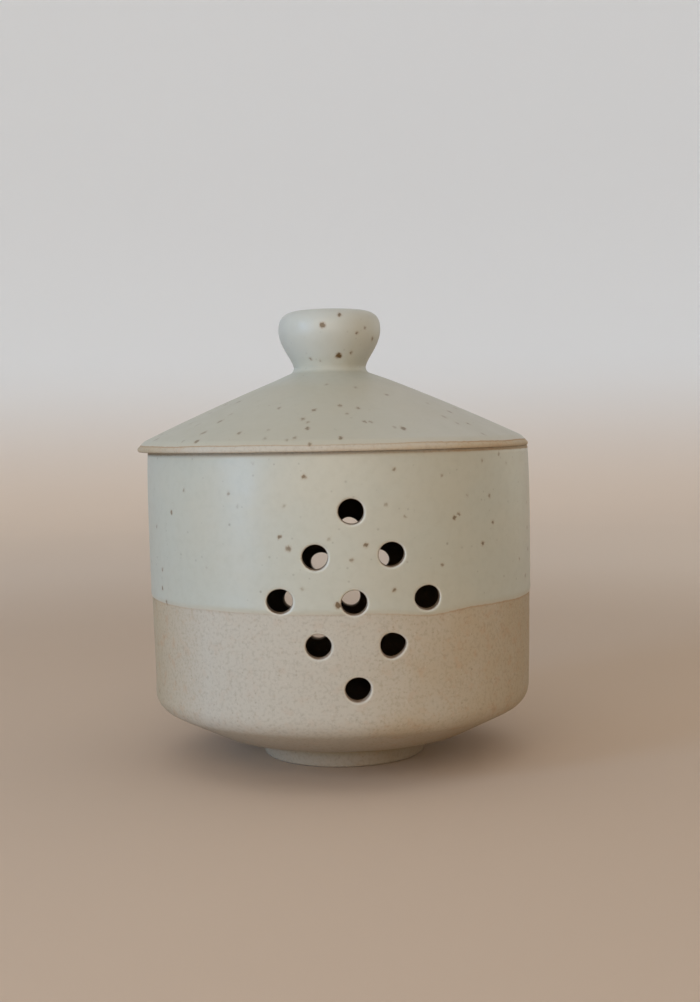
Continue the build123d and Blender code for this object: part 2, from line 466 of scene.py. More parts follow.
def from_front(angle):
    """Angle counted from the front of the pot, between minus and plus half a turn."""
    return half_turn(angle - FRONT_ANGLE)


def throwing(angle, height):
    """Hand-thrown unevenness: fine rings that climb as one spiral, on two slow waves round the pot.

    The axis leans too, so a side stands out by a cosine of its angle, less and less with height.
    The left side swells a little, most at the heel, by the square of the same cosine.
    """
    rings = bpy.context.scene.keeper_sizes.throwing_relief
    spiral = rings * np.sin(2 * pi * height / THROWING_PITCH + angle)
    oval = 0.10 * MM * np.sin(2 * angle + 0.9)
    sway = 0.07 * MM * np.sin(3 * angle - 1.1 + height / (40 * MM))
    lean = 0.6 * MM * np.cos(angle) * (0.45 - height / RIM_HEIGHT)
    heel = np.exp(-((height - HEEL[1]) / (7 * MM)) ** 2)
    swell = (0.12 * MM + 0.55 * MM * heel) * np.clip(-np.cos(angle), 0, 1) ** 2
    return spiral + oval + sway + lean + swell - 0.17 * MM - rings


def glaze_line(angle):
    """Height of the dipped glaze's edge: a slow tilt, a ripple, and runs where the glaze hung lower."""
    front = from_front(angle)
    height = bpy.context.scene.keeper_sizes.glaze_height - 0.35 * MM * np.sin(front)
    height = height + 0.10 * MM * np.sin(9 * front + 1.3) + 0.05 * MM * np.sin(23 * front)
    for place, depth, width in GLAZE_RUNS:
        away = np.degrees(from_front(angle - radians(place))) / width
        height = height - depth * MM * np.exp(-away ** 2)
    return height


def glaze_step(angle, height):
    """Relief of the glaze: its full thickness above the line, with a fat roll just over the edge."""
    thickness = bpy.context.scene.keeper_sizes.glaze_thickness
    above = height - glaze_line(angle)
    roll = 0.4 * np.exp(-((above - GLAZE_ROLL) / GLAZE_ROLL) ** 2)
    return thickness * (smooth_step(above / GLAZE_ROLL + 0.3) * (1 + roll) - 1)


def outer_wall(angle, height):
    """Points on the outside of the wall."""
    radius = (wall_radius(height) + glaze_step(angle, height)) * (1 + throwing(angle, height) / WIDEST_RADIUS)
    return around(radius, angle, height)


def inner_radius(height):
    """Inner radius of the wall."""
    return wall_radius(height) - bpy.context.scene.keeper_sizes.wall


def inner_wall(angle, height):
    """Points on the inside of the wall."""
    radius = inner_radius(height) * (1 + throwing(angle, height) / WIDEST_RADIUS)
    return around(radius, angle, height)


def hole_cells():
    """(group, row, place in the lattice, angle, height) of every hole, front group and then back group."""
    cells = []
    groups = ((FRONT_ROWS, FRONT_ANGLE, FRONT_NUDGES), (BACK_ROWS, BACK_ANGLE, BACK_NUDGES))
    for group, (rows, centre, nudges) in enumerate(groups):
        nudge = iter(nudges)
        for row, count in enumerate(rows):
            for place in range(count):
                along, up = next(nudge)
                offset = place - (count - 1) / 2
                height = ROW_TOP - row * ROW_STEP + up * MM
                angle = centre + offset * HOLE_PITCH + along * MM / WIDEST_RADIUS
                cells.append((group, row, offset, angle, height))
    return cells


def pot_angles():
    """Angles of the mesh columns: even steps over each group's cells and over each plain side."""
    half = GROUP_CELLS * HOLE_PITCH / 4
    group_steps, side_steps = GROUP_CELLS * CELL_STEPS, SIDE_STEPS // 2
    return np.concatenate([
        np.linspace(start, end, steps, endpoint=False)
        for start, end, steps in (
            (FRONT_ANGLE - half, FRONT_ANGLE + half, group_steps),
            (FRONT_ANGLE + half, BACK_ANGLE - half, side_steps),
            (BACK_ANGLE - half, BACK_ANGLE + half, group_steps),
            (BACK_ANGLE + half, FRONT_ANGLE + 2 * pi - half, side_steps),
        )
    ])


def cell_border(start_column, columns):
    """Row in the cell and column of each point round it, from the lower left corner and anticlockwise."""
    width = CELL_STEPS + 2 * CELL_SPREAD
    across, up = np.arange(width), np.arange(CELL_STEPS)
    rows = np.concatenate([0 * across, up, CELL_STEPS + 0 * across, CELL_STEPS - up])
    places = np.concatenate([across, width + 0 * up, width - across, 0 * up]) + start_column
    return rows, places % columns


def hole_outline(rng, turn, burred):
    """Radius of one hole at each turn.

    It is the cutter's, wavering twice and three times round by a per cent or two. A
    burred hole has three corners of five per cent as well, and five more on the first.
    """
    waver = rng.normal(0, 0.008, 4)
    waver[0] += 0.02
    waves = (np.cos(2 * turn), np.sin(2 * turn), np.cos(3 * turn), np.sin(3 * turn))
    share = np.tensordot(waver, waves, 1)
    if burred:
        away = half_turn(turn - BURR_TURN)
        share = share + 0.05 * np.cos(3 * away) + 0.05 * np.exp(-(away / radians(22)) ** 2)
    return bpy.context.scene.keeper_sizes.hole_radius * (1 + share)


def punch(radius, turn, face, angle, height, edge):
    """Rings of points from the cell outside, over the lip, down the bore and over the inner lip.

    A point of the bore stands across and up from the cutter's axis by the radius times
    the cosine and sine of its turn, and meets a wall at the angle whose sine is its
    place across divided by the wall's radius. Each lip is a square curve from the wall,
    round the sharp corner that the cutter would leave, to the bore. The rings outside
    the lip blend this circle into the cell's rectangle. Also gives how far each ring
    is into the bore, from 0 to 1, and how many rings count as outside.
    """
    sizes = bpy.context.scene.keeper_sizes
    inward = -np.array([cos(face), sin(face), 0])
    middle = wall_radius(height) * sin(angle - face)

    def meet(reach, wall_distance):
        """Angle and height where a tube of that reach meets a wall."""
        up = height + reach * np.sin(turn)
        return face + np.arcsin((middle + reach * np.cos(turn)) / wall_distance(up)), up

    def lip(reach, wall, wall_distance, depth):
        """Rings of one lip, from the wall to the bore."""
        start = wall(*meet(radius + reach, wall_distance))
        corner = wall(*meet(radius, wall_distance))
        end = corner + inward * depth
        share = np.linspace(0, 1, LIP_RINGS)[:, None, None]
        return (1 - share) ** 2 * start + 2 * share * (1 - share) * corner + share ** 2 * end

    def skirt(reach, wall, wall_distance, steps):
        """Rings from the cell's edge to the circle, closer together near the circle."""
        round_it, up = meet(radius + reach, wall_distance)
        shares = 1 - (1 - np.arange(1, steps) / steps) ** 1.4
        aside, rise = round_it - edge[0], up - edge[1]
        return [wall(edge[0] + aside * share, edge[1] + rise * share) for share in shares]

    outer_reach, inner_reach = sizes.hole_lip, 0.6 * sizes.hole_lip
    over = lip(outer_reach, outer_wall, wall_radius, outer_reach)
    under = lip(inner_reach, inner_wall, inner_radius, -inner_reach)
    bore = [over[-1] + (under[-1] - over[-1]) * share for share in (0.25, 0.5, 0.75)]
    outside = skirt(outer_reach, outer_wall, wall_radius, steps=5)
    inside = skirt(inner_reach, inner_wall, inner_radius, steps=4)
    rings = np.array([*outside, *over, *bore, *under[::-1], *inside[::-1]])
    into = [0] * len(outside) + list(np.linspace(0, 1, len(over))) + [1] * len(bore)
    into += list(np.linspace(1, 0, len(under))) + [0] * len(inside)
    return rings, np.array(into), len(outside) + len(over) + len(bore)


def pot_section():
    """Section of the pot from the underside's centre round to the floor's centre.

    Also gives where each of its stretches starts.
    """
    sizes = bpy.context.scene.keeper_sizes
    inner_turn = TURN_RADIUS - sizes.wall
    row_low = ROW_TOP - (len(FRONT_ROWS) - 0.5) * ROW_STEP
    row_high = ROW_TOP + 0.5 * ROW_STEP
    cell_heights = np.linspace(row_low, row_high, len(FRONT_ROWS) * CELL_STEPS + 1)
    crowded = (len(FRONT_ROWS) - 1 - GLAZE_CELL) * CELL_STEPS
    share = np.linspace(0, 1, CELL_STEPS + 1) ** GLAZE_CROWDING
    cell_heights[crowded:crowded + CELL_STEPS + 1] = cell_heights[crowded] + ROW_STEP * share
    shoulder = RIM_HEIGHT - RIM_ROUND
    upper_heights = np.linspace(row_high, shoulder, 9)[1:]
    wall_heights = np.concatenate([cell_heights, upper_heights])
    below = outline(
        (
            (POT_POLE, UNDERSIDE_HEIGHT, 0),
            (UNDERSIDE_FLAT_RADIUS, UNDERSIDE_HEIGHT, 1.0 * MM),
            HIP,
            HEEL,
            (TURN_RADIUS, TURN_HEIGHT, 0),
        ),
        spacing=1.5 * MM,
    )
    outside = np.stack([wall_radius(wall_heights), wall_heights], 1)
    mouth = RIM_RADIUS - sizes.wall
    rounding = RIM_ROUND * 0.999     # a hair less, so that each arc starts clear of the shoulder
    rim = outline(
        (
            (RIM_RADIUS, shoulder, 0),
            (RIM_RADIUS, RIM_HEIGHT, rounding),
            (mouth, RIM_HEIGHT, rounding),
            (mouth, shoulder, 0),
        ),
        spacing=0.6 * MM,
    )[1:-1]
    inside = np.stack([wall_radius(wall_heights) - sizes.wall, wall_heights], 1)[::-1]
    floor = outline(
        (
            (inner_turn, TURN_HEIGHT, 0),
            (inner_turn - FLOOR_INSET, FLOOR_TOP, FLOOR_ROUND),
            (POT_POLE, FLOOR_TOP, 0),
        ),
        spacing=2.5 * MM,
    )
    stretches = (below, outside, rim, inside, floor)
    starts = np.cumsum([0, *[len(stretch) for stretch in stretches]])
    return np.concatenate(stretches), starts


def pot_mesh():
    """The pot as one closed mesh, with its point fields.

    A grid of section by angle, whose cells at the holes are left out, outside and
    inside, and replaced by rings that pass through the wall from one cell's border to
    the other's. A pole closes the underside and another the floor.
    """
    sizes = bpy.context.scene.keeper_sizes
    angles = pot_angles()
    columns = len(angles)
    section, starts = pot_section()
    rows = len(section)
    outside, rim, inside = starts[1:4]
    grid = turned_points(section, angles, relief=throwing)
    grid[:outside, :, :2] *= 1 - sizes.glaze_thickness / WIDEST_RADIUS
    grid[outside:rim] = outer_wall(angles[None], section[outside:rim, 1][:, None] + 0 * angles[None])
    keep = np.ones((rows - 1, columns), bool)
    points = [grid.reshape(-1, 3)]
    quads = []
    lips = [np.zeros(rows * columns)]
    outer = [np.arange(rows * columns) < rim * columns]
    used = rows * columns
    rng = np.random.default_rng(HOLE_SEED)
    inner_top = inside + (rim - outside) - 1
    for number, (group, row, offset, angle, height) in enumerate(hole_cells()):
        cell = int((GROUP_CELLS // 2 + 2 * offset) * CELL_STEPS)
        start = cell - CELL_SPREAD + group * (GROUP_CELLS * CELL_STEPS + SIDE_STEPS // 2)
        low = (len(FRONT_ROWS) - 1 - row) * CELL_STEPS
        outer_low = outside + low
        inner_low = inner_top - low
        across = (start + np.arange(CELL_STEPS + 2 * CELL_SPREAD)) % columns
        keep[outer_low:outer_low + CELL_STEPS, across] = False
        keep[inner_low - CELL_STEPS:inner_low, across] = False
        cell_row, cell_column = cell_border(start, columns)
        outer_ids = (outer_low + cell_row) * columns + cell_column
        inner_ids = (inner_low - cell_row) * columns + cell_column
        aside = half_turn(angles[cell_column] - angle)
        cell_height = section[outer_low + cell_row, 1]
        turn = np.arctan2(cell_height - height, aside * WIDEST_RADIUS)
        radius = hole_outline(rng, turn, number == BURRED_HOLE)
        face = (FRONT_PUNCH_ANGLE, BACK_PUNCH_ANGLE)[group]
        rings, into, bored = punch(radius, turn, face, angle, height, (angle + aside, cell_height))
        count = rings.shape[1]
        ids = used + np.arange(len(rings) * count).reshape(-1, count)
        strip = np.concatenate([outer_ids[None], ids, inner_ids[None]])
        beside = np.roll(strip, -1, 1)
        quads.append(np.stack([strip[:-1], beside[:-1], beside[1:], strip[1:]], -1).reshape(-1, 4))
        points.append(rings.reshape(-1, 3))
        lips.append(np.repeat(into, count))
        outer.append(np.repeat(np.arange(len(rings)) < bored, count))
        used += len(rings) * count
    quads.insert(0, grid_quads(rows, columns)[keep])
    points.append(np.array([(0, 0, section[0, 1]), (0, 0, section[-1, 1])]))
    points = np.concatenate(points)
    outer = np.concatenate([*outer, [True, False]])
    # Painted shade inside the pot: the field called inside deepens from the rim downwards.
    below_rim = np.clip((RIM_HEIGHT - points[:, 2]) / INSIDE_SHADE_DEPTH, 0, 1)
    fields = {
        "lip": np.concatenate([*lips, np.zeros(2)]),
        "inside": (1.0 - outer) * below_rim,
        "glaze": glaze_cover(points, outer),
    }
    return points, np.concatenate(quads), end_caps(rows, columns, used), fields


def glaze_cover(points, outer):
    """How far inside the glaze each point lies: above the dipped line and clear of the wiped rim.

    The inside is bare, which counts as a wall's thickness outside the glaze.
    """
    angle = np.arctan2(points[:, 1], points[:, 0])
    below_rim = RIM_HEIGHT - RIM_WIPE - points[:, 2]
    above_line = points[:, 2] - glaze_line(angle)
    return np.where(outer, np.minimum(above_line, below_rim), -bpy.context.scene.keeper_sizes.wall)


def on_wall(spots):
    """Listed wall spots as x, y, z, radius and strength."""
    placed = []
    for degrees_round, height, size, strength in spots:
        x, y, z = outer_wall(FRONT_ANGLE + radians(degrees_round), height * MM)
        placed.append((x, y, z, size * MM, strength))
    return placed


def scattered_on_wall(rng, count):
    """Random spots round the back of the pot, fewer below the glaze line."""
    angle = FRONT_ANGLE + rng.uniform(radians(66), radians(294), count)
    height = rng.uniform(24 * MM, 102 * MM, count)
    size = rng.uniform(0.35, 0.70, count) * MM * np.where(height < 56 * MM, 0.7, 1.0)
    strength = rng.uniform(0.2, 0.85, count)
    return np.concatenate([outer_wall(angle, height), size[:, None], strength[:, None]], 1)


class KEEPER_OT_pot(bpy.types.Operator):
    """Throw the pot: wall, floor, wiped rim and punched vents in one piece of clay"""

    bl_idname = "keeper.pot"
    bl_label = "Pot"

    def execute(self, context):
        points, quads, triangles, fields = pot_mesh()
        piece = make_piece("thrown_pot", points, quads, triangles)
        for name, values in fields.items():
            store(piece, name, values)
        scattered = scattered_on_wall(np.random.default_rng(WALL_SEED), WALL_COUNT)
        store_spots(piece, add_spots(on_wall(WALL_SPOTS), scattered, SPOT_GAP))
        glaze = satin_glazed_stoneware("dipped_satin_glaze_stoneware", left_line=0.15, right_line=0.45)
        piece.data.materials.append(glaze)
        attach(piece, "pot")
        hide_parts("pot")
        return {"FINISHED"}


# ---- Foot ring ----------------------------------------------------------


class KEEPER_OT_foot_ring(bpy.types.Operator):
    """Turn the foot ring: flared outside, rounded resting edges, a soft joint to the underside"""

    bl_idname = "keeper.foot_ring"
    bl_label = "Foot ring"

    def execute(self, context):
        inner = FOOT_RADIUS - FOOT_WIDTH
        top = FOOT_HIGH.z
        flare = FOOT_RADIUS + context.scene.keeper_sizes.foot_flare
        sink = 0.3 * MM
        section = outline(
            (
                (inner, top + sink, 0),
                (inner, 0, FOOT_ROUND),
                (FOOT_RADIUS, 0, FOOT_ROUND),
                (flare - 0.3 * MM, top - 1.0 * MM, 1.5 * MM),
                (flare + 1.0 * MM, top + sink, 0),
                (inner, top + sink, 0),
            ),
            spacing=0.7 * MM,
        )[:-1]
        piece = turned_ring("turned_foot_ring", section, FOOT_STEPS, throwing)
        piece.data.materials.append(bare_stoneware("turned_bare_stoneware"))
        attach(piece, "pot")
        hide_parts("foot_ring")
        return {"FINISHED"}


# ---- Lid, collar and knob -----------------------------------------------


def lid_unevenness(angle, height):
    """The lid's own hand-turned waves, always inwards."""
    rings = 0.012 * MM * np.sin(2 * pi * height / LID_RING_PITCH - angle)
    return rings + 0.08 * MM * np.sin(2 * angle - 0.4) + 0.05 * MM * np.sin(5 * angle) - 0.16 * MM


def lid_section():
    """Section of the lid from the top of its cone, over the edge and seat, to the hollow's centre.

    Also gives each point's distance along the surface from the edge of the glaze.
    """
    cone_top = LID_HIGH.z
    hollow_radius = COLLAR_RADIUS - COLLAR_WALL
    shoulder_radius, shoulder_height = LID_SHOULDER[:2]
    slope = (cone_top - shoulder_height) / (shoulder_radius - CONE_TOP_RADIUS)
    hollow_edge = shoulder_height + slope * (shoulder_radius - hollow_radius) - LID_WALL
    outer = outline(
        (
            (POLE, cone_top + NECK_ROUND, 0),
            (CONE_TOP_RADIUS - NECK_INSET, cone_top + NECK_ROUND, 0),
            (CONE_TOP_RADIUS - 0.05 * MM, cone_top + 0.05 * MM, NECK_ROUND),
            LID_SHOULDER,
            (LID_RADIUS, RIM_HEIGHT + LID_EDGE, LID_TIP_ROUND),
            (LID_RADIUS, RIM_HEIGHT, LID_SEAT_ROUND),
            (hollow_radius, RIM_HEIGHT, 0),
        ),
        spacing=1.1 * MM,
    )
    along = np.clip((outer[:, 0] - CONE_TOP_RADIUS) / (shoulder_radius - CONE_TOP_RADIUS), 0, 1)
    on_cone = outer[:, 1] > RIM_HEIGHT + LID_EDGE
    outer[:, 1] += np.where(on_cone, CONE_CROWN * 4 * along * (1 - along), 0)
    inner = outline(
        (
            (hollow_radius, RIM_HEIGHT, 0),
            (hollow_radius, hollow_edge, 1.0 * MM),
            (CONE_TOP_RADIUS, cone_top - LID_WALL, 4.0 * MM),
            (POLE, cone_top - LID_WALL, 0),
        ),
        spacing=1.8 * MM,
    )[1:]
    section = np.concatenate([outer, inner])
    steps = np.linalg.norm(np.diff(section, axis=0), axis=1)
    travelled = np.concatenate([[0], np.cumsum(steps)])
    rim = (section[:, 0] > LID_RADIUS - 3 * MM) & (section[:, 1] > RIM_HEIGHT)
    edge = np.interp(-RIM_HEIGHT - LID_GLAZE_EDGE, -section[rim, 1], travelled[rim])
    return section, edge - travelled


class KEEPER_OT_lid(bpy.types.Operator):
    """Turn the lid: a hollow cone, glazed on top, with a bare wiped edge and seat"""

    bl_idname = "keeper.lid"
    bl_label = "Lid"

    def execute(self, context):
        section, to_edge = lid_section()
        angles = round_angles(LID_STEPS)
        grid = turned_points(section, angles, LID_CENTRE_X, lid_unevenness)
        neck = 1 - smooth_step((section[:, 0] - CONE_TOP_RADIUS) / NECK_REACH)
        grid[..., 0] += KNOB_OFFSET * neck[:, None]
        piece = turned_solid("turned_lid", section, grid, LID_CENTRE_X + KNOB_OFFSET)
        ragged = 0.14 * MM * np.sin(7 * angles + 0.5) + 0.08 * MM * np.sin(17 * angles)
        depth = (to_edge[:, None] + ragged[None]).ravel()
        store(piece, "glaze", np.concatenate([depth, [DEEP_GLAZE, -DEEP_GLAZE]]))
        store(piece, "lip", np.zeros(len(piece.data.vertices)))
        store_spots(piece, add_spots(self.hand_spots(section), self.random_spots(section), SPOT_GAP))
        # The two tints paint light and shade on the lid's left and right.
        glaze = satin_glazed_stoneware(
            "lid_satin_glaze_stoneware",
            left_line=0.65, right_line=0.7, wiped_film=0.22, side_light_tints=("#b8af97", "#c6c1b4"),
        )
        piece.data.materials.append(glaze)
        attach(piece, "lid")
        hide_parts("lid")
        return {"FINISHED"}

    def place(self, section, angle, height, size, strength):
        """A spot on the cone at an angle and height, as x, y, z, radius and strength."""
        cone = section[section[:, 0] > CONE_TOP_RADIUS]
        cone = cone[:int(np.argmax(cone[:, 0]))]
        radius = np.interp(-height, -cone[:, 1], cone[:, 0])
        return LID_CENTRE_X + radius * cos(angle), radius * sin(angle), height, size, strength

    def hand_spots(self, section):
        """The spots listed round the front of the lid."""
        return [
            self.place(section, FRONT_ANGLE + radians(degrees_round), height * MM, size * MM, strength)
            for degrees_round, height, size, strength in LID_SPOTS
        ]

    def random_spots(self, section):
        """Random spots round the rest of the lid, as many for each area."""
        rng = np.random.default_rng(LID_SEED)
        angle = FRONT_ANGLE + rng.uniform(radians(40), radians(300), LID_COUNT)
        share = np.sqrt(rng.uniform(0.07, 1, LID_COUNT))
        height = LID_HIGH.z - (LID_HIGH.z - LID_SHOULDER[1]) * share
        size = rng.uniform(0.35, 0.65, LID_COUNT) * MM
        strength = rng.uniform(0.2, 0.6, LID_COUNT)
        return [self.place(section, *spot) for spot in zip(angle, height, size, strength)]


class KEEPER_OT_collar(bpy.types.Operator):
    """Turn the locating collar under the lid, bare where it would touch the rim"""

    bl_idname = "keeper.collar"
    bl_label = "Collar"

    def execute(self, context):
        low = COLLAR_LOW.z
        inner = COLLAR_RADIUS - COLLAR_WALL
        joint = 0.8 * MM
        section = outline(
            (
                (inner, RIM_HEIGHT + joint, 0),
                (inner, low, COLLAR_ROUND),
                (COLLAR_RADIUS, low, COLLAR_ROUND),
                (COLLAR_RADIUS, RIM_HEIGHT, joint),
                (COLLAR_RADIUS + joint, RIM_HEIGHT, 0),
                (COLLAR_RADIUS, RIM_HEIGHT + joint, 0),
                (inner, RIM_HEIGHT + joint, 0),
            ),
            spacing=1.2 * MM,
        )[:-1]
        piece = turned_ring("turned_collar", section, COLLAR_STEPS, lid_unevenness, LID_CENTRE_X)
        piece.data.materials.append(bare_stoneware("collar_bare_stoneware"))
        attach(piece, "lid")
        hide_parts("lid_flange")
        return {"FINISHED"}


def knob_section():
    """Section of the knob from its sunk base to the centre of its crown, as three curves."""
    base = KNOB_LOW.z - KNOB_SINK
    waist = bezier(
        (
            (CONE_TOP_RADIUS - 0.2 * MM, base),
            (CONE_TOP_RADIUS - KNOB_WAIST_PULL, KNOB_LOW.z + KNOB_WAIST_RISE),
            (KNOB_RADIUS, KNOB_WIDEST_HEIGHT - KNOB_BELLY_PULL),
            (KNOB_RADIUS, KNOB_WIDEST_HEIGHT),
        ),
        steps=24,
    )
    shoulder = bezier(
        (
            (KNOB_RADIUS, KNOB_WIDEST_HEIGHT),
            (KNOB_RADIUS, KNOB_SHOULDER_HEIGHT - KNOB_FLARE_PULL),
            (KNOB_CROWN_RADIUS + KNOB_SHOULDER_PULL, KNOB_SHOULDER_HEIGHT - KNOB_SHOULDER_DROP),
            (KNOB_CROWN_RADIUS, KNOB_SHOULDER_HEIGHT),
        ),
        steps=16,
    )
    crown = bezier(
        (
            (KNOB_CROWN_RADIUS, KNOB_SHOULDER_HEIGHT),
            (KNOB_CROWN_RADIUS / 2, KNOB_HIGH.z),
            (POLE, KNOB_HIGH.z),
        ),
        steps=10,
    )
    flat = [(POLE, base), (6.0 * MM, base)]      # the hidden underside, in two rings
    return np.concatenate([flat, waist, shoulder[1:], crown[1:]])


class KEEPER_OT_knob(bpy.types.Operator):
    """Throw the knob on the lid: a flared solid knob with a soft shoulder, glazed all over"""

    bl_idname = "keeper.knob"
    bl_label = "Knob"

    def execute(self, context):
        section = knob_section()
        centre_x = LID_CENTRE_X + KNOB_OFFSET
        grid = turned_points(section, round_angles(KNOB_STEPS), centre_x, lid_unevenness)
        grid[..., 0] += KNOB_LEAN * (grid[..., 2] - KNOB_LOW.z) / (KNOB_HIGH.z - KNOB_LOW.z)
        piece = turned_solid("thrown_knob", section, grid, centre_x)
        count = len(piece.data.vertices)
        store(piece, "glaze", np.full(count, DEEP_GLAZE))
        store(piece, "lip", np.zeros(count))
        store_spots(piece, self.spots(section, centre_x))
        # The two tints paint light and shade on the knob's left and right.
        glaze = satin_glazed_stoneware(
            "knob_satin_glaze_stoneware", left_line=0.0, right_line=0.0, side_light_tints=("#cacbc4", "#c9c7bc")
        )
        piece.data.materials.append(glaze)
        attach(piece, "lid")
        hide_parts("knob")
        return {"FINISHED"}

    def spots(self, section, centre_x):
        """The spots listed round the front of the knob, and more spaced round the back."""
        rng = np.random.default_rng(KNOB_SEED)
        angles = 80 + np.arange(KNOB_COUNT) * 26
        heights = rng.uniform(134, 149, KNOB_COUNT)
        radii = rng.uniform(0.35, 0.75, KNOB_COUNT)
        strengths = rng.uniform(0.3, 0.9, KNOB_COUNT)
        side = section[2:np.argmax(section[:, 1] >= KNOB_SHOULDER_HEIGHT) + 1]
        placed = []
        for degrees_round, height, size, strength in (*KNOB_SPOTS, *zip(angles, heights, radii, strengths)):
            radius = np.interp(height * MM, side[:, 1], side[:, 0])
            angle = FRONT_ANGLE + radians(degrees_round)
            x, y, z = around(radius, angle, height * MM, centre_x)
            placed.append((x, y, z, size * MM, strength))
        return placed


# ---- Materials ----------------------------------------------------------

FACTOR, BASE, OTHER, MIXED = 0, 6, 7, 2      # sockets of a colour mix
COLOUR = {"data_type": "RGBA"}               # settings of a colour mix,
SOFT = {"interpolation_type": "SMOOTHSTEP"}  # and of a range with soft ends
ACROSS = {"From Min": -30 * MM, "From Max": 30 * MM}     # from left to right over a piece's front
BARE_ROUGHNESS = 0.88                        # dry clay; the satin glaze is about half as rough


def add(tree, kind, inputs=None, **settings):
    """Adds a node, sets its properties, and gives each input a value or a link.

    A node given as an input is linked by its first output.
    """
    node = tree.nodes.new("ShaderNode" + kind)
    for name, value in settings.items():
        setattr(node, name, value)
    for socket, value in (inputs or {}).items():
        if isinstance(value, bpy.types.Node):
            value = next(output for output in value.outputs if output.enabled)
        if isinstance(value, bpy.types.NodeSocket):
            tree.links.new(value, node.inputs[socket])
        else:
            node.inputs[socket].default_value = value
    return node


def opaque(colour):
    """A linear colour with full alpha."""
    return (*colour, 1.0)


def new_material(name):
    """A material with its tree, its shader and its object coordinates."""
    material = bpy.data.materials.new(name)
    material.use_nodes = True
    tree = material.node_tree
    tree.nodes.clear()
    shader = add(tree, "BsdfPrincipled", {"IOR": 1.5})
    add(tree, "OutputMaterial", {"Surface": shader})
    place = add(tree, "TexCoord").outputs["Object"]
    return material, tree, shader, place


def grains(tree, place, spacing, radius, share):
    """Round grains: one in each cell of a foam of that spacing, kept in a share of the cells."""
    cells = add(tree, "TexVoronoi", {"Vector": place, "Scale": 1 / spacing})
    chance = add(tree, "SeparateColor", {"Color": cells.outputs["Color"]})
    limits = {"To Min": 0.5 * radius / spacing, "To Max": radius / spacing}
    size = add(tree, "MapRange", {"Value": chance.outputs["Green"], **limits})
    inside = add(tree, "Math", {0: size, 1: cells.outputs["Distance"]}, operation="SUBTRACT")
    grain = add(tree, "MapRange", {"Value": inside, "From Max": 0.5 * radius / spacing})
    kept = add(tree, "Math", {0: chance.outputs["Red"], 1: share}, operation="LESS_THAN")
    return add(tree, "Math", {0: grain, 1: kept}, operation="MULTIPLY")


def painted_clay_shades(tree, place, colours):
    """The share of bare stoneware given painted side shade, and its broad painted shades as shares and
    colours.

    It is painted warmer and darker on the shaded right side and at the far left edge,
    darker underneath where shade falls, olive as painted shade and warm bounce light
    where the foot ring joins, and darkest inside, where the pot is in shade.
    """
    axes = add(tree, "SeparateXYZ", {"Vector": place}).outputs
    # Painted shade: the share called toasted paints the clay warmer and darker on its shaded right side.
    drift = add(tree, "TexNoise", {"Vector": place, "Scale": 1 / (22 * MM), "Detail": 3.0})
    reach = add(tree, "Math", {0: drift, 1: 90 * MM, 2: axes["X"]}, operation="MULTIPLY_ADD")
    toasted = add(tree, "MapRange", {"Value": reach, "From Min": 35 * MM, "From Max": 110 * MM}, **SOFT)
    # Painted shade at the far left edge, where the wall turns away from the light.
    painted_edge_shade = add(tree, "MapRange", {"Value": axes["X"], "From Min": -45 * MM, "From Max": -62 * MM})
    toasted = add(tree, "Math", {0: toasted, 1: painted_edge_shade}, operation="MAXIMUM")
    # Painted shade: the clay is darker underneath, where shade falls below the heel.
    low = {"From Min": 19 * MM, "From Max": 6 * MM, "To Max": 0.45}
    under = add(tree, "MapRange", {"Value": axes["Z"], **low}, **SOFT)
    # Painted shade and warm bounce light: olive where the foot ring joins the underside.
    painted_crease_shade = add(tree, "Math", {0: axes["Z"], 1: FOOT_HIGH.z}, operation="SUBTRACT")
    painted_crease_shade = add(tree, "Math", {0: painted_crease_shade}, operation="ABSOLUTE")
    near = {"From Min": 3.5 * MM, "From Max": 0.0, "To Max": 0.5}
    painted_crease_shade = add(tree, "MapRange", {"Value": painted_crease_shade, **near}, **SOFT)
    # Painted shade: the clay is darkest inside the pot, where little light reaches.
    inside = add(tree, "Attribute", attribute_name="inside").outputs["Fac"]
    # These four colours are all painted shade on the clay.
    return toasted, [
        (toasted, colours.shaded_side_clay),
        (under, linear("#86683f")),
        (painted_crease_shade, linear("#94803c")),
        (inside, linear("#6a5643")),
    ]


